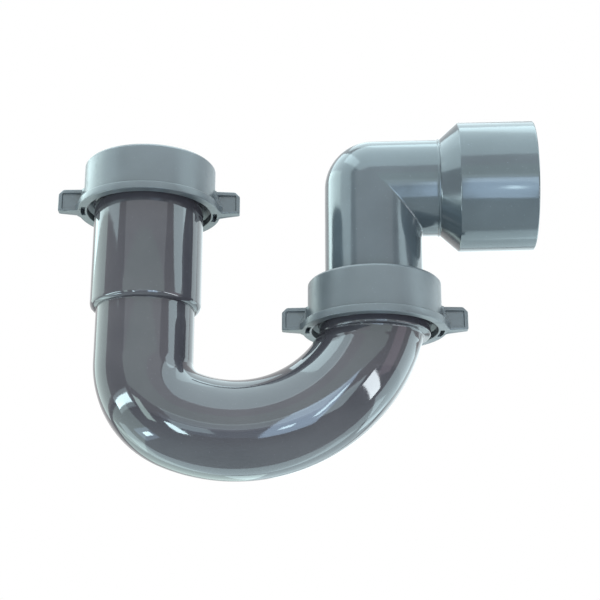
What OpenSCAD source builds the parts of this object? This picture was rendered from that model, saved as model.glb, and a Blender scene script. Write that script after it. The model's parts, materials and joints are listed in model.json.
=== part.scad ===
// P-trap for a sink drain: a J-bend, a swivelling outlet elbow and two winged slip nuts.
// The origin is on the inlet axis, at the upper edge of the socket that takes the tailpiece.
// +Z is up along the inlet, +X points across to the outlet leg, and +Y is away from the viewer.
// Lengths are in millimetres and angles in degrees.

/* [Overall] */
// Distance between the inlet and outlet axes
leg_spacing = 100; // [98:0.5:104]
// How far the outlet collar's rim lies below the inlet sleeve's rim
rim_drop = 54.3; // [52:0.1:55]
// Height of the elbow's arm above the origin
arm_z = 0.6; // [0:0.1:4]
// How far the elbow's arm is swung round from the trap's own plane
arm_swing = 3.8; // [-60:0.1:60]

/* [Tube] */
// Outer radius of the bent tube and of the elbow
tube_r = 21.5; // [21.3:0.05:21.6]
// Wall of the tube
tube_wall = 3.5; // [3:0.1:4]

/* [Bend] */
// Length of the straight inlet leg, from the sleeve's rim down to where the bend begins
leg_straight = 83.85; // [80:0.05:88]
// Centreline radius of the tight first turn
first_r = 26.8; // [26:0.1:30]
// Angle of the tight first turn
first_turn = 68; // [60:1:75]
// Centreline radius of the last turn, up into the collar
last_r = 18.6; // [18.5:0.1:21]
// Angle of the last turn, which the collar hides
last_turn = 18.5; // [15:0.5:20]

/* [Slip joints] */
// Outer radius of the inlet sleeve and of the outlet collar
hub_r = 24.15; // [24.1:0.05:24.3]
// Length of the inlet sleeve, down to its rounded shoulder
sleeve_length = 57.7; // [50:0.1:60]
// Length of the outlet collar
collar_length = 17.5; // [17:0.1:18]
// Radius over the slip thread
thread_r = 25.2; // [25:0.05:25.4]
// Length of the slip thread
thread_length = 13.25; // [12:0.05:14]
// Radius of the inlet socket, a loose fit on a 38.1 mm tailpiece
inlet_bore_r = 19.25; // [19.2:0.01:19.4]
// Depth of the inlet socket
inlet_bore_depth = 50; // [40:1:55]
// Radius of the outlet socket, a loose fit on the elbow's leg
outlet_bore_r = 21.75; // [21.7:0.01:21.9]
// How deep the elbow's leg stands in the outlet socket
leg_insertion = 13; // [12:0.1:13.5]

/* [Elbow] */
// Distance from the outlet axis to the small ring where the cone begins
cone_start = 29.9; // [28:0.1:31]
// Distance from the outlet axis to the pipe socket's inner end
hub_start = 38; // [37:0.1:39]
// Distance from the outlet axis to the pipe socket's mouth
hub_end = 71.3; // [68:0.1:76]
// Outer radius of the pipe socket
pipe_hub_r = 28.85; // [28:0.05:29.5]
// Radius of the pipe socket, a cemented fit on a 48.3 mm pipe
pipe_bore_r = 24.2; // [24.15:0.01:24.4]
// Depth of the pipe socket
pipe_bore_depth = 28; // [24:0.5:30]

/* [Nuts] */
// Outer radius of a nut
nut_r = 29.15; // [28.5:0.05:30]
// Height of a nut
nut_h = 21.75; // [21:0.05:23]
// Radius of the flange round a nut's mouth
flange_r = 31.6; // [30.8:0.1:32.4]
// Height of that flange
flange_h = 3.3; // [2.8:0.1:4]
// Radius to the tips of a nut's wings
wing_r = 40.4; // [38:0.1:42]
// Height of a wing
wing_h = 10.5; // [9:0.1:12]
// Thickness of a wing at its root
wing_root_t = 5.8; // [5:0.1:7]
// Thickness of a wing at its tip
wing_tip_t = 4.4; // [4:0.1:5]
// How far the inlet nut's wings are turned out of the trap's own plane
inlet_turn = 2; // [-45:0.5:45]
// How far the union nut's wings are turned out of it
union_turn = -1.5; // [-45:0.5:45]
// Radius of the hole in a nut's top
nut_hole_r = 21.95; // [21.8:0.05:22.2]
// Radius of the plain recess inside a nut's mouth
mouth_r = 27.5; // [26.5:0.1:28]

/* [Washers] */
// How far a nut's top stands above the rim under it
nut_rise = 6.5; // [6.4:0.1:7]
// Inner radius of the washer on the tailpiece
inlet_washer_r = 19.1; // [19.05:0.01:19.2]
// Inner radius of the washer on the elbow's leg
union_washer_r = 21.6; // [21.58:0.01:21.7]
// Outer radius of both washers
washer_r = 24.6; // [24:0.1:24.8]
// Thickness of a friction ring
ring_t = 1; // [0.8:0.1:1.2]

/* [Hidden] */
$fn = 128;

bend_color = [0.17, 0.16, 0.17];
elbow_color = [0.30, 0.35, 0.38];
nut_color = [0.30, 0.30, 0.33];
washer_color = [0.80, 0.80, 0.77];
ring_color = [0.62, 0.63, 0.64];

eps = 0.01;               // lets a cut run just past a face
bend_step = 0.06;         // every other stretch of the bend is thinner by this, so that none share an edge
buried = 1;               // how far a hidden end stops short, inside the solid round it
sliding_gap = 0.05;       // between flat faces that turn on each other
seat_gap = 0.12;          // between a washer's taper and its seat
thread_gap = 0.08;        // between the nut's thread and the sleeve's
seat_slope = 3.5 / 4.15;  // rise over radius of a washer's seat
inlet_land = 0.75;        // flat left round the seat at the inlet rim
union_land = 0.45;        // flat left round the seat at the union rim
leg_end_gap = 0.2;        // between the elbow's leg and the bottom of its socket
ring_gap = 0.1;           // how much wider the union's friction ring is inside than its washer
nose_t = 0.4;             // thickness of a washer at the tip of its taper
thread_start = 1;         // plain rim above the thread
web_t = 2.4;              // a nut's top, between its hole and its thread
water_r = tube_r - tube_wall;

// The inlet socket's seat is as deep as its taper needs, and ends at the origin.
inlet_seat_r = hub_r - inlet_land;
inlet_rim_z = (inlet_seat_r - inlet_bore_r) * seat_slope;
union_rim_z = inlet_rim_z - rim_drop;
union_seat_r = hub_r - union_land;
leg_end_z = union_rim_z - leg_insertion;
outlet_bore_z = leg_end_z - leg_end_gap;

// Height of a friction ring's top face above the rim under it
ring_top = nut_rise - web_t - sliding_gap;

// Centreline of the bend in the XZ plane, as three arcs. A heading of 0 points down,
// 90 points to +X and 180 points up, and the middle arc's radius closes the gap between the axes.
headings = [0, first_turn, 180 - last_turn, 180];
first_run = first_r * (1 - cos(headings[1]));
last_run = last_r * (1 + cos(headings[2]));
middle_r = (leg_spacing - first_run - last_run) / (cos(headings[1]) - cos(headings[2]));
radii = [first_r, middle_r, last_r];
function inward(h) = [cos(h), sin(h)];
bend_z = inlet_rim_z - leg_straight;
centre_1 = [first_r, bend_z];
centre_2 = centre_1 + (middle_r - first_r) * inward(headings[1]);
centre_3 = centre_2 + (last_r - middle_r) * inward(headings[2]);
centres = [centre_1, centre_2, centre_3];

// One round stretch of the bend, with tube radius r
module turn(i, r) {
    translate([centres[i].x, 0, centres[i].y])
        rotate([90, 0, 0])
            rotate([0, 0, 180 + headings[i]])
                rotate_extrude(angle = headings[i + 1] - headings[i])
                    intersection() {
                        translate([radii[i], 0]) circle(r = r);
                        translate([0, -r]) square([radii[i] + r, 2 * r]);
                    }
}

// The whole run from the inlet sleeve round to the collar, with tube radius r
module run(r) {
    translate([0, 0, bend_z]) cylinder(r = r, h = leg_straight - buried);
    for (i = [0:2]) turn(i, i == 1 ? r : r - bend_step);
    translate([leg_spacing, 0, centre_3.y])
        cylinder(r = r, h = union_rim_z - buried - centre_3.y);
}

// A threaded hub that hangs down from its rim, which is at z = 0
module hub(length) {
    translate([0, 0, -length]) cylinder(r = hub_r, h = length);
    translate([0, 0, -thread_start - thread_length]) cylinder(r = thread_r, h = thread_length);
}

// The socket in such a hub, with the tapered seat for its washer
module socket(bore_r, seat_r, depth) {
    seat_depth = (seat_r - bore_r) * seat_slope;
    translate([0, 0, -depth]) cylinder(r = bore_r, h = depth);
    translate([0, 0, -seat_depth]) cylinder(r1 = bore_r, r2 = seat_r, h = seat_depth);
    cylinder(r = seat_r, h = eps);
}

module j_bend() {
    shoulder_r = hub_r - tube_r;
    color(bend_color) difference() {
        union() {
            run(tube_r);
            translate([0, 0, inlet_rim_z]) hub(sleeve_length);
            translate([0, 0, inlet_rim_z - sleeve_length])
                rotate_extrude()
                    translate([tube_r - eps, 0])
                        intersection() {
                            circle(r = shoulder_r + eps);
                            translate([0, -shoulder_r - eps]) square(shoulder_r + eps);
                        }
            translate([leg_spacing, 0, union_rim_z]) hub(collar_length);
        }
        run(water_r);
        translate([0, 0, inlet_rim_z])
            socket(inlet_bore_r, inlet_seat_r, inlet_rim_z + inlet_bore_depth);
        translate([leg_spacing, 0, union_rim_z])
            socket(outlet_bore_r, union_seat_r, union_rim_z - outlet_bore_z);
    }
}

// The elbow about its own leg: the leg goes down from the arm's axis, and the arm along +X
module elbow() {
    leg_length = arm_z - leg_end_z;
    ring_w = 1.2;
    ring_h = 0.35;
    chamfer = 0.8;
    taper_inset = 3;
    taper_rise = 2.4;
    taper_start = cone_start + taper_inset;
    difference() {
        union() {
            translate([0, 0, -leg_length]) cylinder(r = tube_r, h = leg_length);
            sphere(r = tube_r);
            rotate([0, 90, 0]) cylinder(r = tube_r, h = hub_start);
            translate([cone_start - ring_w, 0, 0])
                rotate([0, 90, 0]) cylinder(r = tube_r + ring_h, h = ring_w);
            translate([cone_start, 0, 0])
                rotate([0, 90, 0])
                    cylinder(r1 = tube_r + ring_h, r2 = pipe_hub_r, h = hub_start - cone_start);
            translate([hub_start, 0, 0])
                rotate([0, 90, 0]) cylinder(r = pipe_hub_r, h = hub_end - hub_start - chamfer);
            translate([hub_end - chamfer, 0, 0])
                rotate([0, 90, 0])
                    cylinder(r1 = pipe_hub_r, r2 = pipe_hub_r - chamfer, h = chamfer);
        }
        translate([0, 0, -leg_length - eps]) cylinder(r = water_r, h = leg_length + eps);
        sphere(r = water_r);
        rotate([0, 90, 0]) cylinder(r = water_r, h = hub_end);
        translate([taper_start, 0, 0])
            rotate([0, 90, 0])
                cylinder(r1 = water_r, r2 = water_r + taper_rise,
                         h = hub_end - pipe_bore_depth - taper_start);
        translate([hub_end - pipe_bore_depth, 0, 0])
            rotate([0, 90, 0]) cylinder(r = pipe_bore_r, h = pipe_bore_depth + eps);
    }
}

module trap_elbow() {
    color(elbow_color)
        translate([leg_spacing, 0, arm_z])
            rotate([0, 0, -arm_swing]) elbow();
}

// One wing along +X, thinner and a little higher at its tip, with a sunk panel on each face
module wing() {
    corner = 2.1;
    rim = 1.6;
    lower_rim = 1.3;
    tip_rise = 0.6;
    panel_t = 3.3;
    root_r = nut_r - rim;
    foot_z = -nut_h;
    top_z = wing_h - nut_h;
    difference() {
        intersection() {
            rotate([90, 0, 0])
                linear_extrude(2 * wing_root_t, center = true)
                    polygon([[root_r, foot_z], [flange_r, foot_z], [wing_r, foot_z + tip_rise],
                             [wing_r, top_z - corner], [wing_r - corner, top_z], [root_r, top_z]]);
            translate([0, 0, foot_z - 1])
                linear_extrude(nut_h)
                    polygon([[root_r, -wing_root_t / 2], [wing_r, -wing_tip_t / 2],
                             [wing_r, wing_tip_t / 2], [root_r, wing_root_t / 2]]);
        }
        for (side = [-1, 1])
            translate([0, side * (panel_t + wing_root_t) / 2, 0])
                rotate([90, 0, 0])
                    linear_extrude(wing_root_t, center = true)
                        polygon([[flange_r + rim / 2, foot_z + lower_rim],
                                 [wing_r - rim, foot_z + lower_rim],
                                 [wing_r - rim, top_z - corner - rim / 2],
                                 [wing_r - corner - rim / 2, top_z - rim],
                                 [nut_r + rim / 2, top_z - rim],
                                 [nut_r + rim / 2, foot_z + flange_h + rim]]);
    }
}

// A slip nut that hangs down from its top, which is at z = 0
module nut() {
    mouth_depth = 3;
    lead_in = 1.5;
    edge = 1;
    slot_r = 28.4;
    slot_w = 1.8;
    slot_depth = 2.4;
    slot_angle = 19;
    slot_turn = 6;
    inner_r = thread_r + thread_gap;
    difference() {
        union() {
            translate([0, 0, -edge]) cylinder(r1 = nut_r, r2 = nut_r - edge, h = edge);
            translate([0, 0, -nut_h]) cylinder(r = nut_r, h = nut_h - edge);
            translate([0, 0, -nut_h]) cylinder(r = flange_r, h = flange_h);
            wing();
            mirror([1, 0, 0]) wing();
        }
        translate([0, 0, -nut_h - eps]) cylinder(r = nut_hole_r, h = nut_h + 2 * eps);
        translate([0, 0, -nut_h - eps]) cylinder(r = inner_r, h = nut_h - web_t + eps);
        translate([0, 0, mouth_depth - nut_h])
            cylinder(r1 = mouth_r, r2 = inner_r, h = lead_in);
        translate([0, 0, -nut_h - eps]) cylinder(r = mouth_r, h = mouth_depth + eps);
        for (side = [0, 180])
            rotate([0, 0, side + slot_turn - slot_angle / 2])
                rotate_extrude(angle = slot_angle)
                    translate([slot_r, -nut_h - eps]) square([slot_w, slot_depth + eps]);
    }
}

module inlet_nut() {
    color(nut_color) translate([0, 0, inlet_rim_z + nut_rise]) rotate([0, 0, inlet_turn]) nut();
}

module union_nut() {
    color(nut_color)
        translate([leg_spacing, 0, union_rim_z + nut_rise]) rotate([0, 0, union_turn]) nut();
}

// A flat friction ring above a rim at z = 0
module friction_ring(inner_r) {
    translate([0, 0, ring_top - ring_t])
        difference() {
            cylinder(r = washer_r, h = ring_t);
            translate([0, 0, -eps]) cylinder(r = inner_r, h = ring_t + 2 * eps);
        }
}

module inlet_ring() {
    color(ring_color) translate([0, 0, inlet_rim_z]) friction_ring(inlet_bore_r);
}

module union_ring() {
    color(ring_color)
        translate([leg_spacing, 0, union_rim_z]) friction_ring(union_washer_r + ring_gap);
}

// A tapered washer above a rim at z = 0: a flat brim, and a cone that stands in the seat
module slip_washer(inner_r, seat_r) {
    nose_r = inner_r + nose_t;
    top = ring_top - ring_t - sliding_gap;
    rotate_extrude()
        polygon([[inner_r, top], [washer_r, top], [washer_r, seat_gap], [seat_r, seat_gap],
                 [nose_r, seat_gap - (seat_r - nose_r) * seat_slope],
                 [inner_r, seat_gap - (seat_r - nose_r) * seat_slope]]);
}

module inlet_washer() {
    color(washer_color)
        translate([0, 0, inlet_rim_z]) slip_washer(inlet_washer_r, inlet_seat_r);
}

module union_washer() {
    color(washer_color)
        translate([leg_spacing, 0, union_rim_z]) slip_washer(union_washer_r, union_seat_r);
}

j_bend();
trap_elbow();
inlet_nut();
inlet_ring();
inlet_washer();
union_nut();
union_ring();
union_washer();
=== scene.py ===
import json
import math

import bmesh
import bpy
import numpy as np
from mathutils import Matrix, Vector


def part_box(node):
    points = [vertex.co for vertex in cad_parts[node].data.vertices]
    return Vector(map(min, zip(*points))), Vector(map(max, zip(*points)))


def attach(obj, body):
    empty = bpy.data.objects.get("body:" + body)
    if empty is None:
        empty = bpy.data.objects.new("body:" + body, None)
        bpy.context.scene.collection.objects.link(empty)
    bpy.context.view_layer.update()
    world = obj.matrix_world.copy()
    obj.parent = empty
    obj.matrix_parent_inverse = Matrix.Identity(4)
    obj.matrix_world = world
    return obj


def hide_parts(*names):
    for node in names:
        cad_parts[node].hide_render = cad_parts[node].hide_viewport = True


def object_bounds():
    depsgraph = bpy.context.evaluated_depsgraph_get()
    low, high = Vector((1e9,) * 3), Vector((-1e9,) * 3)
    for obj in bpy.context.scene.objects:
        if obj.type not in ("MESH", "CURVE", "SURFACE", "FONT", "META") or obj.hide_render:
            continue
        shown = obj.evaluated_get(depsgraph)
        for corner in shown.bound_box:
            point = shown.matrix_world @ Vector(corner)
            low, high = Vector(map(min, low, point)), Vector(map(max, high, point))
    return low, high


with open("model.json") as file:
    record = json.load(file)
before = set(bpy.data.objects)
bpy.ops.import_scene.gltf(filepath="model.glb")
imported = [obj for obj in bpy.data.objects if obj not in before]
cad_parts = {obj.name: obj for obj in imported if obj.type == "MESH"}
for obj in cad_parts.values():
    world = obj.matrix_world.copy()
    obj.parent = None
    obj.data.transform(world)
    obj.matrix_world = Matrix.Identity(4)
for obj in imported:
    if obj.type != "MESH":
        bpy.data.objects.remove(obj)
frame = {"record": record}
cad_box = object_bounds()

# Meshes are worked out in millimetres and stored in metres.
MM = 0.001

# ---- Sizes taken from the frame -----------------------------------------------------------------


def box_mm(node):
    """Lowest and highest corner of a CAD node, in millimetres"""
    low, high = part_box(node)
    return Vector(low) / MM, Vector(high) / MM


def mount(name):
    return next(m for m in frame["record"]["mounts"] if m["name"] == name)


def coupling_ratio(joint):
    couplings = frame["record"]["behaviour"]["couplings"]
    return next(c["ratio"] for c in couplings if c["joint"] == joint)


BEND_HIGH = box_mm("j_bend")[1]
NUT_LOW, NUT_HIGH = box_mm("inlet_nut")
UNION_LOW, UNION_HIGH = box_mm("union_nut")
ELBOW_LOW = box_mm("trap_elbow")[0]

LEG_SPACING = (UNION_LOW.x + UNION_HIGH.x) / 2
INLET_RIM_Z = BEND_HIGH.z
NUT_H = NUT_HIGH.z - NUT_LOW.z
NUT_RISE = NUT_HIGH.z - INLET_RIM_Z
UNION_RIM_Z = UNION_HIGH.z - NUT_RISE
THREAD_R = BEND_HIGH.x - LEG_SPACING
FLANGE_R = NUT_HIGH.y
LEG_END_Z = ELBOW_LOW.z
THREAD_PITCH = coupling_ratio("inlet_nut_travel") * 2 * math.pi / MM

PIPE = mount("pipe_socket")
PIPE_BORE_R = PIPE["dims"]["r_mm"]
PIPE_BORE_DEPTH = PIPE["dims"]["length_mm"]
ARM_Z = PIPE["pos_m"][2] / MM
ARM_AXIS = Vector(PIPE["axis"]).normalized()
PIPE_MIDDLE = Vector((PIPE["pos_m"][0] / MM - LEG_SPACING, PIPE["pos_m"][1] / MM, 0)).length
HUB_END = PIPE_MIDDLE + PIPE_BORE_DEPTH / 2
INLET_BORE_R = mount("inlet_socket")["dims"]["r_mm"]

# ---- Design sizes that the boxes don't give, as in the CAD model --------------------------------

TUBE_R = 21.5
WATER_R = 18.0
HUB_R = 24.15
SLEEVE_LENGTH = 57.7
COLLAR_LENGTH = 17.5
THREAD_START = 1.0
THREAD_LENGTH = 13.25
INLET_BORE_Z = -50.0
INLET_SEAT_R = 23.4
UNION_SEAT_R = 23.7
OUTLET_BORE_R = 21.75
OUTLET_BORE_Z = LEG_END_Z - 0.2
SEAT_SLOPE = 3.5 / 4.15

LEG_STRAIGHT = 83.85
FIRST_R = 26.8
LAST_R = 18.6
FIRST_TURN = math.radians(68)
LAST_TURN = math.radians(18.5)

CONE_START = 29.9
HUB_START = 38.0
PIPE_HUB_R = 28.85

THREAD_GAP = 0.08
NUT_R = 29.15
NUT_HOLE_R = 21.95
MOUTH_R = 27.5
MOUTH_DEPTH = 3.0
LEAD_IN = 1.5
WEB_T = 2.4
INNER_R = THREAD_R + THREAD_GAP
FLANGE_H = 3.3
WING_H = 10.5
WING_ROOT_T = 5.8
WING_TIP_T = 4.4
INLET_TURN = math.radians(2)
UNION_TURN = math.radians(-1.5)

WASHER_R = 24.6
INLET_WASHER_R = 19.1
UNION_WASHER_R = 21.6
UNION_RING_R = UNION_WASHER_R + 0.1
NOSE_T = 0.4
RING_T = 1.0
SLIDING_GAP = 0.05
SEAT_GAP = 0.12

# ---- Shapes -------------------------------------------------------------------------------------

SEGMENTS = 192
ELBOW_SEGMENTS = 224
# Edges where the surface turns by more than this are shaded as sharp
SHARP = math.radians(40)


def smooth(value):
    """0 below 0, 1 above 1, and a smooth step between"""
    t = np.clip(value, 0, 1)
    return t * t * (3 - 2 * t)


def rounded(corners, closed=False, steps=5):
    """Outline through (across, up, radius) corners, with each corner turned by an arc of its radius"""
    outline = []
    count = len(corners)
    for i, (x, y, radius) in enumerate(corners):
        corner = Vector((x, y))
        at_end = not closed and i in (0, count - 1)
        if radius == 0 or at_end:
            outline.append(tuple(corner))
            continue
        before = (Vector(corners[i - 1][:2]) - corner).normalized()
        after = (Vector(corners[(i + 1) % count][:2]) - corner).normalized()
        half = before.angle(after) / 2
        centre = corner + (before + after).normalized() * radius / math.sin(half)
        start = corner + before * radius / math.tan(half) - centre
        turn = start.angle_signed(corner + after * radius / math.tan(half) - centre)
        for k in range(steps + 1):
            spoke = start.copy()
            spoke.rotate(Matrix.Rotation(-turn * k / steps, 2))
            outline.append(tuple(centre + spoke))
    return outline


def uniform_angles(count=SEGMENTS):
    return np.arange(count) * 2 * math.pi / count


def around_z(angles, radius, z, x=0.0):
    """A level ring about a vertical axis at x"""
    radius = np.broadcast_to(radius, angles.shape)
    level = np.broadcast_to(z, angles.shape)
    return np.stack([x + radius * np.cos(angles), radius * np.sin(angles), level], axis=1)


def revolved(outline, x=0.0, z=0.0):
    angles = uniform_angles()
    return [around_z(angles, radius, z + up, x) for radius, up in outline]


def skin(name, rings):
    """A closed surface through rings of points in millimetres, with the last ring joined to the first"""
    points = np.array(rings)
    index = np.arange(points.shape[0] * points.shape[1]).reshape(points.shape[:2])
    following = np.roll(index, -1, axis=0)
    quads = np.stack(
        [index, np.roll(index, -1, axis=1), np.roll(following, -1, axis=1), following], axis=-1)
    mesh = bpy.data.meshes.new(name)
    mesh.from_pydata((points.reshape(-1, 3) * MM).tolist(), [], quads.reshape(-1, 4).tolist())
    shaped = bmesh.new()
    shaped.from_mesh(mesh)
    if shaped.calc_volume(signed=True) < 0:
        bmesh.ops.reverse_faces(shaped, faces=shaped.faces)
    for face in shaped.faces:
        face.smooth = True
    for edge in shaped.edges:
        edge.smooth = edge.calc_face_angle(0) < SHARP
    shaped.to_mesh(mesh)
    shaped.free()
    piece = bpy.data.objects.new(name, mesh)
    bpy.context.scene.collection.objects.link(piece)
    return piece


# ---- Slip thread --------------------------------------------------------------------------------

ROWS_PER_TURN = 20
THREAD_RUN_OUT = 3.5
# Distances from the hub's crest line, in turns: where its ridge ends, where the nut's ridge starts, and how
# wide a flank is
HUB_RIDGE_END = 0.38
NUT_RIDGE_START = 0.17
FLANK = 0.26
NUT_RIDGE_H = 0.98
NUT_RIDGE_BOTTOM_GAP = 0.3
NUT_RIDGE_TOP_GAP = 0.8


def crest_distance(angles, z, rim_z):
    """Distance along the axis from the thread's crest line, in turns: 0 on it and 0.5 midway"""
    turns = (z - rim_z) / THREAD_PITCH - angles / (2 * math.pi)
    return np.abs(turns - np.round(turns))


def thread_rows(top, bottom):
    return np.linspace(top, bottom, int(ROWS_PER_TURN * abs(top - bottom) / THREAD_PITCH) + 1)


def fade(z, top, bottom, run_out=1.0):
    """1 along a thread, falling to 0 over 1 mm at its top and over the run-out at its bottom"""
    return smooth(top - z) * smooth((z - bottom) / run_out)


def outer_thread(angles, x, rim_z):
    """Rings down the thread on a hub under its rim"""
    top = rim_z - THREAD_START
    bottom = top - THREAD_LENGTH
    rings = []
    for z in thread_rows(top, bottom):
        ridge = smooth((HUB_RIDGE_END - crest_distance(angles, z, rim_z)) / FLANK)
        radius = HUB_R + (THREAD_R - HUB_R) * ridge * fade(z, top, bottom, THREAD_RUN_OUT)
        rings.append(around_z(angles, radius, z, x))
    return rings


# ---- J-bend -------------------------------------------------------------------------------------

SEAM_HALF_WIDTH = math.radians(0.5)
SEAM_HEIGHT = 0.06
TUBE_TOP_Z = -62.0
# Under the collar, the rings go from square across the tube to level. These are the headings where that
# starts, outside and in the waterway, and how far under the collar it ends outside.
LEVELLING_START = math.radians(138)
WATER_LEVELLING_START = math.radians(120)
LEVEL_DROP = 4.0
# Numbers of rings: along the tube, then while they become level
TUBE_RINGS, LEVELLING_RINGS = 120, 14
WATER_RINGS, WATER_LEVELLING_RINGS = 60, 16
# Each point turns about the union axis on its way up to the thread. This is the share of it done in a mm.
TWIST_RATE = 0.3 / 3.5
COLLAR_EDGE = 0.7
COLLAR_FILLET = 0.45
SEARCH_FROM = math.radians(120)
SEARCH_STEPS = 40
BEND_Z = INLET_RIM_Z - LEG_STRAIGHT
COLLAR_FOOT_Z = UNION_RIM_Z - COLLAR_LENGTH
HEADINGS = [0, FIRST_TURN, math.pi - LAST_TURN, math.pi]
FIRST_RUN = FIRST_R * (1 - math.cos(HEADINGS[1]))
LAST_RUN = LAST_R * (1 + math.cos(HEADINGS[2]))
MIDDLE_R = (LEG_SPACING - FIRST_RUN - LAST_RUN) / (math.cos(HEADINGS[1]) - math.cos(HEADINGS[2]))
RADII = np.array([FIRST_R, MIDDLE_R, LAST_R])


def inward(heading):
    """Direction from the bend's centreline to its centre. Heading 0 points down, 90 degrees to +X."""
    return np.stack([np.cos(heading), np.sin(heading)], axis=-1)


CENTRE_1 = np.array([FIRST_R, BEND_Z])
CENTRE_2 = CENTRE_1 + (MIDDLE_R - FIRST_R) * inward(HEADINGS[1])
CENTRE_3 = CENTRE_2 + (LAST_R - MIDDLE_R) * inward(HEADINGS[2])
CENTRES = np.array([CENTRE_1, CENTRE_2, CENTRE_3])


def seam_angles():
    """Evenly spaced angles, with a narrow band of extra ones over each parting line, at 0 and 180 degrees"""
    extra = [side * math.pi + k * SEAM_HALF_WIDTH / 2 for side in (0, 1) for k in (-2, -1, 1, 2)]
    return np.sort(np.concatenate([uniform_angles(), np.array(extra) % (2 * math.pi)]))


def seam(angles):
    """How far the surface lies under the fine ridge that the mould's parting line leaves"""
    off = np.minimum(np.abs(np.sin(angles)) / math.sin(SEAM_HALF_WIDTH), 1)
    return -SEAM_HEIGHT * off * off


def bend_points(angles, heading, radius):
    """Points of the bent tube. An angle of 0 lies on the inside of the bend."""
    heading = np.broadcast_to(heading, angles.shape).astype(float)
    stretch = np.clip(np.searchsorted(HEADINGS, heading, side="right") - 1, 0, 2)
    normal = inward(heading)
    centreline = CENTRES[stretch] - RADII[stretch][:, None] * normal
    across = centreline + (radius * np.cos(angles))[:, None] * normal
    return np.stack([across[:, 0], radius * np.sin(angles), across[:, 1]], axis=1)


def heading_at_height(angles, radius, z):
    """Heading at which each line along the tube comes up through height z"""
    start = np.full(angles.shape, SEARCH_FROM)
    end = np.full(angles.shape, math.pi)
    for _ in range(SEARCH_STEPS):
        middle = (start + end) / 2
        below = bend_points(angles, middle, radius)[:, 2] < z
        start = np.where(below, middle, start)
        end = np.where(below, end, middle)
    return start


def tube_reach(direction, z):
    """How far the bent tube reaches from the union axis at height z, in each direction"""
    near = np.zeros(direction.shape)
    far = np.full(direction.shape, 2 * TUBE_R)
    for _ in range(SEARCH_STEPS):
        middle = (near + far) / 2
        x = LEG_SPACING + middle * np.cos(direction)
        from_centre = np.hypot(x - CENTRE_2[0], z - CENTRE_2[1]) - MIDDLE_R
        inside = np.hypot(from_centre, middle * np.sin(direction)) < TUBE_R
        near = np.where(inside, middle, near)
        far = np.where(inside, far, middle)
    return near


def hub_top(angles, x, rim_z, seat_r):
    """Rings from a hub's seat over its rim to where the thread starts"""
    land = rounded([(seat_r - 1, -SEAT_SLOPE, 0), (seat_r, 0, 0.12), (HUB_R, 0, 0.3),
                    (HUB_R, -THREAD_START, 0)])
    return [around_z(angles, radius, rim_z + up, x) for radius, up in land[1:-1]]


def sleeve(angles):
    """Outside of the inlet sleeve, from its rim down over its rounded shoulder to the tube"""
    rings = hub_top(angles, 0, INLET_RIM_Z, INLET_SEAT_R)
    rings += outer_thread(angles, 0, INLET_RIM_Z)
    shoulder = HUB_R - TUBE_R
    foot = INLET_RIM_Z - SLEEVE_LENGTH
    outline = rounded([(HUB_R, foot, 0), (HUB_R, foot - shoulder, shoulder - 0.2),
                       (TUBE_R, foot - shoulder, 0.16), (TUBE_R, foot - shoulder - 1, 0)], steps=8)
    edge = seam(angles)
    for radius, z in outline[1:]:
        rings.append(around_z(angles, radius + edge, z))
    return rings


def bend_tube(angles):
    """Outside of the tube, from under the sleeve round to a level ring below the collar"""
    radius = TUBE_R + seam(angles)
    rings = [around_z(angles, radius, z) for z in np.linspace(TUBE_TOP_Z, BEND_Z + 2, 5)]
    last = heading_at_height(angles, radius, COLLAR_FOOT_Z - LEVEL_DROP)
    for heading in np.linspace(0, LEVELLING_START, TUBE_RINGS):
        rings.append(bend_points(angles, heading, radius))
    for share in np.linspace(0, 1, LEVELLING_RINGS)[1:]:
        heading = LEVELLING_START + (last - LEVELLING_START) * share
        rings.append(bend_points(angles, heading, radius))
    return rings


def collar(angles, last_ring):
    """Outside of the outlet collar, from the tube's last level ring up to the rim"""
    foot = COLLAR_FOOT_Z
    edge = COLLAR_EDGE
    level = last_ring[0, 2]
    start = np.arctan2(last_ring[:, 1], last_ring[:, 0] - LEG_SPACING)
    start = np.unwrap(start)
    goal = math.pi - angles
    goal += 2 * math.pi * np.round((start[0] - goal[0]) / (2 * math.pi))
    rings = []

    def ring(z, radius, share):
        """Add a ring whose points have turned by a share of the way to the thread's points"""
        turned = start + (goal - start) * smooth(share)
        rings.append(around_z(turned, radius(turned), z, LEG_SPACING))

    for z in np.linspace(level, foot - COLLAR_FILLET, 9)[1:]:
        ring(z, lambda turned: tube_reach(turned, z), (z - level) * TWIST_RATE)
    # The fillet where the collar leaves the tube: how far each ring is up it and out of it
    for rise, grow in ((0.2, 0.06), (0.34, 0.18), (0.4, 0.34)):
        def fillet(turned):
            reach = tube_reach(turned, foot)
            return np.maximum(reach, np.minimum(reach + grow, HUB_R - edge))
        ring(foot - COLLAR_FILLET + rise, fillet, 0.35)
    for angle in np.linspace(0, math.pi / 2, 6):
        z = foot + edge * (1 - math.cos(angle))
        hub = HUB_R - edge + edge * math.sin(angle)
        ring(z, lambda turned: np.maximum(tube_reach(turned, z), hub), 0.5)
    for z in np.linspace(foot + edge + 0.4, UNION_RIM_Z - THREAD_START - THREAD_LENGTH, 6)[:-1]:
        ring(z, lambda turned: np.maximum(tube_reach(turned, z), HUB_R), 1.0)
    rings += outer_thread(goal, LEG_SPACING, UNION_RIM_Z)[1:]
    rings += hub_top(goal, LEG_SPACING, UNION_RIM_Z, UNION_SEAT_R)[::-1]
    return rings


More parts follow.
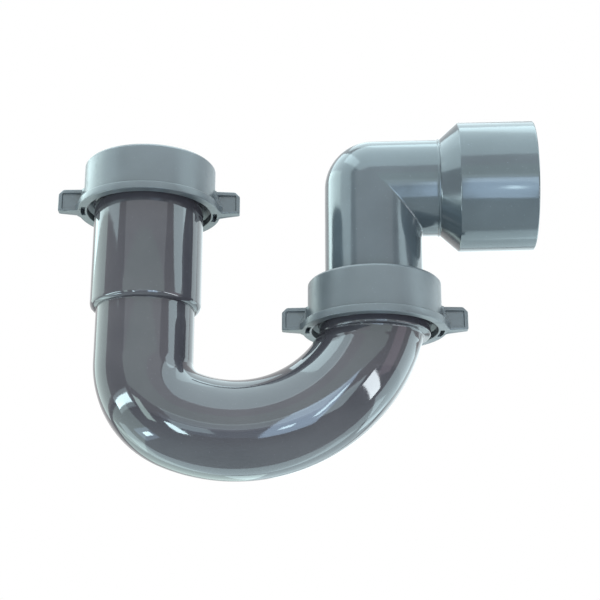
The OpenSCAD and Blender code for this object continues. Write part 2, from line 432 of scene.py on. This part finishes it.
def waterway(angles):
    """Inside, from the union seat down the outlet socket and back round to the inlet seat"""
    goal = math.pi - angles
    seat_z = UNION_RIM_Z - (UNION_SEAT_R - OUTLET_BORE_R) * SEAT_SLOPE
    outlet = rounded([(UNION_SEAT_R - 0.3, UNION_RIM_Z - 0.3 * SEAT_SLOPE, 0), (OUTLET_BORE_R, seat_z, 0.3),
                      (OUTLET_BORE_R, OUTLET_BORE_Z, 0.25), (WATER_R + 1, OUTLET_BORE_Z, 0)])
    rings = [around_z(goal, radius, z, LEG_SPACING) for radius, z in outlet[:-1]]
    last = heading_at_height(angles, WATER_R, OUTLET_BORE_Z)
    for share in np.linspace(1, 0, WATER_LEVELLING_RINGS):
        heading = WATER_LEVELLING_START + (last - WATER_LEVELLING_START) * share
        rings.append(bend_points(angles, heading, WATER_R))
    for heading in np.linspace(WATER_LEVELLING_START, 0, WATER_RINGS)[1:]:
        rings.append(bend_points(angles, heading, WATER_R))
    seat_foot = INLET_RIM_Z - (INLET_SEAT_R - INLET_BORE_R) * SEAT_SLOPE
    inlet = rounded([(WATER_R, INLET_BORE_Z - 5, 0), (WATER_R, INLET_BORE_Z, 0.3),
                     (INLET_BORE_R, INLET_BORE_Z, 0.25), (INLET_BORE_R, seat_foot, 0.3),
                     (INLET_SEAT_R - 0.3, INLET_RIM_Z - 0.3 * SEAT_SLOPE, 0)])
    rings += [around_z(angles, radius, z) for radius, z in inlet]
    return rings


def make_j_bend():
    angles = seam_angles()
    rings = sleeve(angles) + bend_tube(angles)
    rings += collar(angles, rings[-1])
    rings += waterway(angles)
    return skin("j_bend_moulding", rings)


# ---- Elbow --------------------------------------------------------------------------------------

CREASE = 0.9
CORNER_RINGS = 19
SMALL_RING_W = 1.2
SMALL_RING_H = 0.35


def corner_ring(angles, radius, turn):
    """Ring through the elbow's corner. A turn of 0 ends the leg and a turn of 90 degrees starts the arm."""
    inner = radius * np.cos(angles)
    soft = CREASE / 2
    start = soft * np.logaddexp(0, (inner + CREASE) / soft)
    bend = start - inner
    return np.stack([inner + bend * (1 - math.cos(turn)), radius * np.sin(angles),
                     -start + bend * math.sin(turn)], axis=1)


def arm_ring(angles, radius, x):
    radius = np.broadcast_to(radius, angles.shape)
    return np.stack([np.broadcast_to(x, angles.shape), radius * np.sin(angles),
                     -radius * np.cos(angles)], axis=1)


def between(first, second, count):
    """Rings evenly spaced between two rings, leaving both out"""
    return [first + (second - first) * k / (count + 1) for k in range(1, count + 1)]


def corner_run(angles, radius, foot_z, arm_x):
    """Rings up the leg from a level ring, round the corner and along the arm to a flat ring"""
    foot = around_z(angles, radius, foot_z)
    turns = [corner_ring(angles, radius, turn) for turn in np.linspace(0, math.pi / 2, CORNER_RINGS)]
    end = arm_ring(angles, radius, arm_x)
    return [foot] + between(foot, turns[0], 6) + turns + between(turns[-1], end, 3) + [end]


def make_elbow():
    angles = uniform_angles(ELBOW_SEGMENTS)
    leg_foot = LEG_END_Z - ARM_Z
    ring_start = CONE_START - SMALL_RING_W
    ring_r = TUBE_R + SMALL_RING_H
    bore_end = HUB_END - PIPE_BORE_DEPTH
    foot = rounded([(WATER_R, leg_foot + 2, 0), (WATER_R, leg_foot, 0.4), (TUBE_R, leg_foot, 0.5),
                    (TUBE_R, leg_foot + 2, 0)])
    hub = rounded([(ring_start - 1, TUBE_R, 0), (ring_start, TUBE_R, 0.15), (ring_start + 0.25, ring_r, 0.15),
                   (CONE_START - 0.35, ring_r, 0.12), (CONE_START - 0.1, ring_r - 0.25, 0.1),
                   (CONE_START + 0.25, ring_r, 0.15), (HUB_START, PIPE_HUB_R, 0.9),
                   (HUB_END, PIPE_HUB_R, 0.8), (HUB_END, PIPE_BORE_R, 0.5), (bore_end, PIPE_BORE_R, 0.3),
                   (bore_end, WATER_R + 2.4, 0.4), (CONE_START + 3, WATER_R, 3), (CONE_START, WATER_R, 0)])
    rings = [around_z(angles, radius, z) for radius, z in foot[1:-1]]
    rings += corner_run(angles, TUBE_R, leg_foot + 3, ring_start - 2)
    rings += [arm_ring(angles, radius, x) for x, radius in hub]
    rings += corner_run(angles, WATER_R, leg_foot + 3, CONE_START - 2)[::-1]
    swing = math.atan2(ARM_AXIS.y, ARM_AXIS.x)
    turned = np.array(Matrix.Rotation(swing, 3, "Z"))
    placed = np.array(rings) @ turned.T + np.array([LEG_SPACING, 0, ARM_Z])
    return skin("elbow_moulding", placed)


# ---- Slip nuts ----------------------------------------------------------------------------------

WING_R = (NUT_HIGH.x - WING_TIP_T / 2 * math.sin(INLET_TURN)) / math.cos(INLET_TURN)
WING_TOP = WING_H - NUT_H
WING_CORNER = 2.1
WING_EDGE = 0.4
WING_RIM = 1.6
LOWER_RIM = 1.3
TIP_RISE = 0.6
PANEL_T = 3.3
PANEL_WALL = 0.35
PANEL_TOP_MARGIN = 0.95
PANEL_FOOT_MARGIN = 0.7
PANEL_SWEEP = 1.8
ROOT_FILLET = 0.5
TIP_RADIUS = 0.5
SHELF_Z = FLANGE_H - NUT_H
POCKET_HALF_ANGLE = math.radians(9.5)
POCKET_TURN = math.radians(6)
POCKET_DEPTH = 2.4
POCKET_OUTER_R = 30.2
POCKET_INNER_R = 28.45
POCKET_EDGE = 0.05
UNDERSIDE_R = 30.4
# The turn in which a pocket's end wall drops
POCKET_WALL_TURN = 0.004


def half_thickness(x):
    """Half of a wing's thickness, which tapers from its root to its tip"""
    share = (x - NUT_R) / (WING_R - NUT_R)
    return (WING_ROOT_T + (WING_TIP_T - WING_ROOT_T) * share) / 2


def panel_inner_edge(z):
    """Where a wing's sunk panel ends next to the nut: the edge sweeps outwards towards the flange"""
    up = min(max((z - SHELF_Z) / (WING_TOP - SHELF_Z), 0), 1)
    top, foot = NUT_R + PANEL_TOP_MARGIN, FLANGE_R + PANEL_FOOT_MARGIN
    return top + (foot - top) * (1 - up) ** PANEL_SWEEP


def wing_quarter(z, body_r, reach, inset=0.0, sunk=False):
    """Quarter outline from a wing's tip round its root to the side of the nut"""
    def side(x):
        return half_thickness(x) - inset

    tip = TIP_RADIUS
    half_tip, half_root = side(reach), side(body_r)
    points = [(reach, (half_tip - tip) * k / 3) for k in range(3)]
    for k in range(5):
        angle = math.pi / 2 * k / 4
        points.append((reach - tip + tip * math.cos(angle), half_tip - tip + tip * math.sin(angle)))
    centre_x = math.sqrt((body_r + ROOT_FILLET) ** 2 - (half_root + ROOT_FILLET) ** 2)
    inner = max(panel_inner_edge(z), centre_x + 0.1)
    outer = reach - WING_RIM
    points.append((outer, side(outer)))
    for k in range(7):
        x = outer - PANEL_WALL + (inner + 2 * PANEL_WALL - outer) * k / 6
        points.append((x, PANEL_T / 2 if sunk else side(x)))
    points.append((inner, side(inner)))
    root = math.atan2(half_root + ROOT_FILLET, centre_x)
    for k in range(6):
        angle = 3 * math.pi / 2 + (math.pi / 2 - root) * k / 5
        points.append((centre_x + ROOT_FILLET * math.cos(angle),
                       half_root + ROOT_FILLET + ROOT_FILLET * math.sin(angle)))
    return points, root


WING_OUTLINE, WING_ROOT = wing_quarter(WING_TOP, NUT_R, WING_R)


def arc_angles():
    """Angles on the nut from a pocket's end round to the side, with two close ones at the pocket's end"""
    ends = [POCKET_HALF_ANGLE - POCKET_WALL_TURN, POCKET_HALF_ANGLE]
    return ends + list(np.linspace(POCKET_HALF_ANGLE + 0.04, math.pi / 2, 40))


def whole_outline(quarter):
    """All four quarters of an outline that is the same on both sides of both axes"""
    half = quarter + [(-x, y) for x, y in quarter[-2::-1]]
    return np.array(half + [(x, -y) for x, y in half[-2:0:-1]])


def wing_ring(z, body_r, reach, inset=0.0, sunk=False, tip_rise=0.0):
    points, _ = wing_quarter(z, body_r, reach, inset, sunk)
    points += [(body_r * math.cos(a), body_r * math.sin(a)) for a in arc_angles()[:-1]]
    points.append((0.0, body_r))
    outline = whole_outline(points)
    beyond = np.clip((np.abs(outline[:, 0]) - FLANGE_R) / (WING_R - FLANGE_R), 0, 1)
    return np.column_stack([outline, z + tip_rise * beyond])


def nut_angles():
    """Angles of a plain ring whose points pair up with those of a ring that has wings"""
    wing = list(np.linspace(0, WING_ROOT, len(WING_OUTLINE)))
    quarter = [(math.cos(a), math.sin(a)) for a in wing + arc_angles()]
    outline = whole_outline(quarter)
    return np.unwrap(np.arctan2(outline[:, 1], outline[:, 0]))


def wings(angles):
    """Rings down the outside of the nut, from just above the wings to its lower edge"""
    edge = WING_EDGE
    panel_top, panel_foot = WING_TOP - WING_RIM, LOWER_RIM - NUT_H

    def reach(z):
        return min(WING_R, WING_R - WING_CORNER + (WING_TOP - z))

    rings = [around_z(angles, NUT_R, WING_TOP)]
    for angle in np.linspace(math.pi / 2, 0, 5):
        z = WING_TOP - edge + edge * math.sin(angle)
        inset = edge * (1 - math.cos(angle))
        rings.append(wing_ring(z, NUT_R, reach(z) - inset, inset))
    rings.append(wing_ring(panel_top, NUT_R, reach(panel_top)))
    for z in np.linspace(panel_top - PANEL_WALL, SHELF_Z + 0.35, 12):
        rings.append(wing_ring(z, NUT_R, reach(z), sunk=True))
    for rise, grow in ((0.16, 0.06), (0.05, 0.18), (0.0, 0.4)):
        rings.append(wing_ring(SHELF_Z + rise, NUT_R + grow, WING_R, sunk=True))
    flange = rounded([(FLANGE_R - 1, SHELF_Z, 0), (FLANGE_R, SHELF_Z, 0.35), (FLANGE_R, -NUT_H, 0.4),
                      (FLANGE_R - 1, -NUT_H, 0)])[1:-1]
    upper = [(radius, z) for radius, z in flange if z > panel_foot]
    rings += [wing_ring(z, radius, WING_R, sunk=True) for radius, z in upper]
    rings.append(wing_ring(panel_foot + PANEL_WALL, FLANGE_R, WING_R, sunk=True))
    rings.append(wing_ring(panel_foot, FLANGE_R, WING_R))
    for radius, z in flange[len(upper):]:
        inset = FLANGE_R - radius
        rings.append(wing_ring(z, radius, WING_R - inset, inset, tip_rise=TIP_RISE))
    return rings


def nut_underside(angles):
    """Rings from the nut's lower edge in to its mouth, with a cored pocket under each wing's root"""
    pocket_end = math.sin(POCKET_HALF_ANGLE - POCKET_WALL_TURN / 2)
    inside_pocket = np.abs(np.sin(angles - POCKET_TURN)) < pocket_end
    floor = -NUT_H + POCKET_DEPTH * inside_pocket
    levels = [(UNDERSIDE_R, -NUT_H), (POCKET_OUTER_R + POCKET_EDGE, -NUT_H), (POCKET_OUTER_R, floor),
              (POCKET_INNER_R, floor), (POCKET_INNER_R - POCKET_EDGE, -NUT_H)]
    return [around_z(angles, radius, z) for radius, z in levels]


def inner_thread(angles, turn):
    """Rings up the thread inside the nut, whose ridges lie between the hub's ridges"""
    bottom = MOUTH_DEPTH + LEAD_IN + NUT_RIDGE_BOTTOM_GAP - NUT_H
    top = -WEB_T - NUT_RIDGE_TOP_GAP
    rings = []
    for z in thread_rows(bottom, top):
        ridge = smooth((crest_distance(angles + turn, z + NUT_RISE, 0) - NUT_RIDGE_START) / FLANK)
        radius = INNER_R - NUT_RIDGE_H * ridge * fade(z, top, bottom)
        rings.append(around_z(angles, radius, z))
    return rings


def make_nut(name, low, high, turn):
    """A nut with its wings turned about its axis. The rings inside it are turned on to fit the pockets."""
    angles = nut_angles()
    inside = angles + POCKET_TURN
    top = rounded([(NUT_HOLE_R + 1, 0, 0), (NUT_R - 0.9, 0, 0.3), (NUT_R, -1.0, 0.35), (NUT_R, WING_TOP, 0)])
    mouth = rounded([(POCKET_INNER_R - POCKET_EDGE, -NUT_H, 0), (MOUTH_R, -NUT_H, 0.3),
                     (MOUTH_R, MOUTH_DEPTH - NUT_H, 0.2), (INNER_R, MOUTH_DEPTH + LEAD_IN - NUT_H, 0.2),
                     (INNER_R, MOUTH_DEPTH + LEAD_IN + 0.5 - NUT_H, 0)])
    web = rounded([(INNER_R, -WEB_T - 1, 0), (INNER_R, -WEB_T, 0.3), (NUT_HOLE_R, -WEB_T, 0.3),
                   (NUT_HOLE_R, 0, 0.35), (NUT_R, 0, 0)])
    rings = [around_z(angles, radius, z) for radius, z in top[1:-1]]
    rings += [around_z(angles, NUT_R, WING_TOP / 2)] + wings(angles) + nut_underside(inside)
    rings += [around_z(inside, radius, z) for radius, z in mouth[1:-1]]
    rings += inner_thread(inside, turn)
    rings += [around_z(inside, radius, z) for radius, z in web[1:-1]]
    turned = np.array(rings) @ np.array(Matrix.Rotation(turn, 3, "Z")).T
    return skin(name, turned + np.array([(low.x + high.x) / 2, 0, high.z]))


# ---- Rings and washers --------------------------------------------------------------------------

RING_TOP = NUT_RISE - WEB_T - SLIDING_GAP


def make_ring(name, inner_r, x, rim_z):
    low, high = RING_TOP - RING_T, RING_TOP
    outline = rounded([(inner_r, low, 0.18), (WASHER_R, low, 0.18), (WASHER_R, high, 0.18),
                       (inner_r, high, 0.18)], closed=True)
    return skin(name, revolved(outline, x, rim_z))


def make_washer(name, inner_r, seat_r, x, rim_z):
    """A flat brim with a taper under it"""
    top = RING_TOP - RING_T - SLIDING_GAP
    nose_r = inner_r + NOSE_T
    nose_z = SEAT_GAP - (seat_r - nose_r) * SEAT_SLOPE
    corners = [(inner_r, nose_z, 0.12), (nose_r, nose_z, 0.12), (seat_r, SEAT_GAP, 0.3),
               (WASHER_R, SEAT_GAP, 0.2), (WASHER_R, top, 0.3), (inner_r, top, 0.3)]
    return skin(name, revolved(rounded(corners, closed=True), x, rim_z))


# ---- Materials ----------------------------------------------------------------------------------


class Nodes:
    """A small helper that adds nodes to a material and links them"""

    def __init__(self, material):
        self.tree = material.node_tree
        self.shader = next(n for n in self.tree.nodes if n.type == "BSDF_PRINCIPLED")
        self.place = self.tree.nodes.new("ShaderNodeTexCoord").outputs["Object"]

    def add(self, kind, **settings):
        node = self.tree.nodes.new(kind)
        for key, value in settings.items():
            setattr(node, key, value)
        return node

    def link(self, output, socket):
        self.tree.links.new(output, socket)

    def stretched(self, scale):
        node = self.add("ShaderNodeMapping")
        node.inputs["Scale"].default_value = scale
        self.link(self.place, node.inputs["Vector"])
        return node.outputs["Vector"]

    def noise(self, scale, detail=3.0, rough=0.5, stretch=None):
        node = self.add("ShaderNodeTexNoise")
        node.inputs["Scale"].default_value = scale
        node.inputs["Detail"].default_value = detail
        node.inputs["Roughness"].default_value = rough
        self.link(self.stretched(stretch) if stretch else self.place, node.inputs["Vector"])
        return node.outputs["Fac"]

    def ramp(self, value, low, high, from_low=0.0, from_high=1.0):
        node = self.add("ShaderNodeMapRange")
        for socket, number in (("From Min", from_low), ("From Max", from_high),
                               ("To Min", low), ("To Max", high)):
            node.inputs[socket].default_value = number
        self.link(value, node.inputs["Value"])
        return node.outputs["Result"]

    def colours(self, value, stops):
        node = self.add("ShaderNodeValToRGB")
        elements = node.color_ramp.elements
        while len(elements) < len(stops):
            elements.new(0.5)
        for element, (position, colour) in zip(elements, stops):
            element.position = position
            element.color = (*colour, 1)
        self.link(value, node.inputs["Fac"])
        return node.outputs["Color"]

    def sum(self, first, second):
        node = self.add("ShaderNodeMath", operation="ADD")
        self.link(first, node.inputs[0])
        self.link(second, node.inputs[1])
        return node.outputs["Value"]

    def bump(self, height, distance, strength=1.0, after=None):
        node = self.add("ShaderNodeBump")
        node.inputs["Distance"].default_value = distance
        node.inputs["Strength"].default_value = strength
        self.link(height, node.inputs["Height"])
        if after:
            self.link(after, node.inputs["Normal"])
        return node.outputs["Normal"]


def new_material(name):
    material = bpy.data.materials.new(name)
    material.use_nodes = True
    return material, Nodes(material)


DUST_GAIN = 4


def moulded_plastic(name, dark, pale, roughness, grain, grain_depth, peel_depth):
    """Moulded plastic: cloudy tone, handling haze, fine scratches, orange peel and a few specks of dust.
    The roughness is given as its least and most. The grain is a noise scale, and the depths are in metres."""
    material, nodes = new_material(name)
    shader = nodes.shader
    clouds = nodes.noise(26, detail=4, rough=0.55)
    specks = nodes.ramp(nodes.noise(1500, detail=1), 0, 1, 0.72, 0.80)
    tone = nodes.colours(clouds, [(0.32, dark), (0.68, pale)])
    dusty = nodes.add("ShaderNodeMix", data_type="RGBA")
    nodes.link(nodes.ramp(specks, 0, 0.22), dusty.inputs["Factor"])
    nodes.link(tone, dusty.inputs["A"])
    dusty.inputs["B"].default_value = (*[min(1, DUST_GAIN * c) for c in pale], 1)
    nodes.link(dusty.outputs["Result"], shader.inputs["Base Color"])

    haze = nodes.noise(60, detail=5, rough=0.6)
    scratches = nodes.noise(420, detail=2, stretch=(0.16, 1.0, 1.0))
    worn = nodes.sum(haze, nodes.ramp(scratches, 0, 0.35, 0.58, 0.75))
    nodes.link(nodes.ramp(worn, *roughness, 0.3, 0.85), shader.inputs["Roughness"])

    peel = nodes.bump(nodes.noise(130, detail=1), peel_depth, 0.35)
    fine = nodes.bump(nodes.noise(grain, detail=2), grain_depth, 0.5, after=peel)
    scored = nodes.bump(scratches, 0.00001, 0.3, after=fine)
    nodes.link(scored, shader.inputs["Normal"])
    return material


def washer_material():
    material, nodes = new_material("soft_washer")
    shader = nodes.shader
    tone = nodes.colours(nodes.noise(45, detail=4), [(0.3, (0.50, 0.49, 0.45)), (0.7, (0.66, 0.65, 0.61))])
    nodes.link(tone, shader.inputs["Base Color"])
    nodes.link(nodes.ramp(nodes.noise(90), 0.45, 0.7), shader.inputs["Roughness"])
    nodes.link(nodes.bump(nodes.noise(900, detail=3), 0.00008, 0.4), shader.inputs["Normal"])
    shader.inputs["Subsurface Weight"].default_value = 0.1
    shader.inputs["Subsurface Radius"].default_value = (0.002, 0.0018, 0.0014)
    return material


def floor_material():
    material, nodes = new_material("pale_floor")
    tone = nodes.colours(nodes.noise(3), [(0.3, (0.44, 0.44, 0.44)), (0.7, (0.47, 0.47, 0.47))])
    nodes.link(tone, nodes.shader.inputs["Base Color"])
    nodes.shader.inputs["Roughness"].default_value = 0.9
    nodes.shader.inputs["Specular IOR Level"].default_value = 0.1
    return material


# ---- Pieces on their bodies ---------------------------------------------------------------------


def place(piece, body, node, material):
    piece.data.materials.append(material)
    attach(piece, body)
    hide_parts(node)


def build_trap():
    bend = moulded_plastic("gloss_brown_black", dark=(0.023, 0.021, 0.025), pale=(0.034, 0.030, 0.034),
                           roughness=(0.03, 0.09), grain=1900, grain_depth=0.000006, peel_depth=0.00006)
    elbow = moulded_plastic("gloss_blue_black", dark=(0.029, 0.035, 0.040), pale=(0.040, 0.047, 0.053),
                            roughness=(0.09, 0.20), grain=1700, grain_depth=0.00001, peel_depth=0.00012)
    nut = moulded_plastic("satin_grey", dark=(0.037, 0.041, 0.045), pale=(0.052, 0.056, 0.061),
                          roughness=(0.30, 0.46), grain=1300, grain_depth=0.00003, peel_depth=0.0002)
    ring = moulded_plastic("ring_grey", dark=(0.50, 0.51, 0.52), pale=(0.60, 0.61, 0.62),
                           roughness=(0.35, 0.5), grain=1300, grain_depth=0.00002, peel_depth=0.0002)
    soft = washer_material()
    place(make_j_bend(), "j_bend", "j_bend", bend)
    place(make_elbow(), "trap_elbow", "trap_elbow", elbow)
    place(make_nut("inlet_slip_nut", NUT_LOW, NUT_HIGH, INLET_TURN),
          "inlet_nut", "inlet_nut", nut)
    place(make_nut("union_slip_nut", UNION_LOW, UNION_HIGH, UNION_TURN),
          "union_nut", "union_nut", nut)
    place(make_ring("inlet_friction_ring", INLET_BORE_R, 0, INLET_RIM_Z),
          "inlet_seal", "inlet_ring", ring)
    place(make_ring("union_friction_ring", UNION_RING_R, LEG_SPACING, UNION_RIM_Z),
          "union_ring", "union_ring", ring)
    place(make_washer("inlet_slip_washer", INLET_WASHER_R, INLET_SEAT_R, 0, INLET_RIM_Z),
          "inlet_seal", "inlet_washer", soft)
    place(make_washer("union_slip_washer", UNION_WASHER_R, UNION_SEAT_R, LEG_SPACING, UNION_RIM_Z),
          "union_washer", "union_washer", soft)


# ---- Camera, floor and light --------------------------------------------------------------------

CAMERA_AT = Vector((66.6, -537.0, -222.0)) * MM
CAMERA_PITCH, CAMERA_YAW, CAMERA_ROLL = 17.61, -0.09, 0.11
LENS, SENSOR = 77.28, 36.0
CLIP_START = 0.01
FLOOR_Z = -1.6
FLOOR_SIZE = 12.0


def make_camera():
    data = bpy.data.cameras.new("camera")
    data.lens, data.sensor_width = LENS, SENSOR
    data.clip_start = CLIP_START
    camera = bpy.data.objects.new("camera", data)
    bpy.context.scene.collection.objects.link(camera)
    camera.matrix_world = (Matrix.Translation(CAMERA_AT)
                           @ Matrix.Rotation(math.radians(CAMERA_YAW), 4, "Z")
                           @ Matrix.Rotation(math.radians(90 + CAMERA_PITCH), 4, "X")
                           @ Matrix.Rotation(math.radians(CAMERA_ROLL), 4, "Z"))
    bpy.context.scene.camera = camera


def make_floor():
    mesh = bpy.data.meshes.new("floor")
    shaped = bmesh.new()
    bmesh.ops.create_grid(shaped, x_segments=8, y_segments=8, size=FLOOR_SIZE / 2)
    shaped.to_mesh(mesh)
    shaped.free()
    floor = bpy.data.objects.new("floor", mesh)
    bpy.context.scene.collection.objects.link(floor)
    floor.location.z = FLOOR_Z
    mesh.materials.append(floor_material())


def make_world():
    world = bpy.data.worlds.new("studio")
    bpy.context.scene.world = world
    world.use_nodes = True
    sky = world.node_tree.nodes["Background"]
    sky.inputs["Color"].default_value = (1, 1, 1, 1)
    sky.inputs["Strength"].default_value = 1.0
    bpy.context.scene.view_settings.view_transform = "Standard"


COOL = (0.71, 0.94, 1.0)
AQUA = (0.75, 1.0, 0.95)
BLUE = (0.52, 0.74, 1.0)
PALE = (0.86, 0.95, 1.0)
ROSE = (1.0, 0.78, 0.95)


def softbox(name, azimuth, elevation, half_width, half_height, brightness, colour, distance=2.0, roll=0,
            shape="RECTANGLE", aim=None):
    """A flat light that faces the trap, or a point on it. Azimuth 0 is the camera's side and 90 is +X. The
    half sizes are the angles that it fills as seen from there. A roll lifts its end at the higher azimuth."""
    data = bpy.data.lights.new(name, "AREA")
    data.shape = shape
    data.size = 2 * distance * math.tan(math.radians(half_width))
    data.size_y = 2 * distance * math.tan(math.radians(half_height))
    filled = math.pi / 4 if shape == "ELLIPSE" else 1
    data.energy = brightness * math.pi * data.size * data.size_y * filled
    data.color = colour
    light = bpy.data.objects.new(name, data)
    bpy.context.scene.collection.objects.link(light)
    turned, raised = math.radians(azimuth), math.radians(elevation)
    direction = Vector((math.sin(turned) * math.cos(raised), -math.cos(turned) * math.cos(raised),
                        math.sin(raised)))
    low, high = cad_box
    target = aim or (Vector(low) + Vector(high)) / 2
    light.matrix_world = (Matrix.Translation(target + direction * distance)
                          @ direction.to_track_quat("Z", "Y").to_matrix().to_4x4()
                          @ Matrix.Rotation(math.radians(roll), 4, "Z"))
    light.visible_camera = False


def make_lights():
    """Broad soft panels on every side, and a few small bright ones for the crisp highlights. The numbers are
    azimuth, elevation, half width and half height in degrees, and brightness."""
    softbox("overhead", 10, 71, 44, 35, 4.0, COOL)
    softbox("overhead_right", 135, 68, 34, 16, 2.0, COOL)
    softbox("front_high", 0, 27, 40, 9, 1.1, PALE)
    softbox("front", 0, 8, 42, 10, 1.4, AQUA)
    softbox("front_low", 0, -6, 16, 6, 2.0, COOL)
    softbox("front_low_left", -14, -18, 5, 5, 3.0, COOL)
    softbox("front_left_low", -37, -16, 4, 9, 6.0, AQUA)
    softbox("front_right_low", 30, -18, 6, 8, 3.5, COOL)
    softbox("front_floor", 0, -20, 22, 10, 0.7, BLUE)
    softbox("hub_front", 5, -24, 10, 17, 6.0, BLUE, distance=0.6, aim=Vector(PIPE["pos_m"]))
    softbox("left_front", -66, -15, 20, 6, 2.5, COOL, roll=12)
    softbox("left_front_low", -72, -43, 13, 6, 2.5, BLUE)
    softbox("left_high", -95, 42, 36, 22, 3.6, COOL)
    softbox("left", -112, 12, 24, 24, 2.2, AQUA)
    softbox("left_low", -95, -32, 30, 14, 2.0, AQUA, distance=1.6)
    softbox("right_front", 66, -8, 11, 10, 1.0, ROSE)
    softbox("right_strip", 74, 27, 16, 15, 4.4, COOL, shape="ELLIPSE")
    softbox("right_middle", 108, 16, 24, 13, 1.8, COOL)
    softbox("right", 114, -16, 23, 16, 3.6, COOL, distance=1.6)
    softbox("back_right", 158, 10, 22, 26, 1.0, COOL)
    softbox("back_right_low", 155, -35, 24, 16, 1.6, COOL, distance=1.6)
    softbox("back_left_low", -150, -35, 28, 16, 1.8, AQUA, distance=1.6)
    softbox("back_low", 180, -62, 60, 12, 2.5, COOL, distance=1.5)
    softbox("window_left", -66, -15, 18, 3, 20.0, COOL, distance=1.8, roll=12)
    softbox("window_left_low", -68, -43, 6, 2, 20.0, COOL, distance=1.8)
    softbox("window_front", -22, -26, 2, 6.5, 22.0, COOL, distance=1.8)
    softbox("window_right", 60, -22, 19, 3.2, 18.0, PALE, distance=1.8, roll=-23)
    softbox("streak", 20, -13, 1.2, 8, 14.0, COOL, distance=1.8)
    softbox("glint", 11, -22, 2, 2, 14.0, COOL, distance=1.8)


build_trap()
make_camera()
make_floor()
make_world()
make_lights()
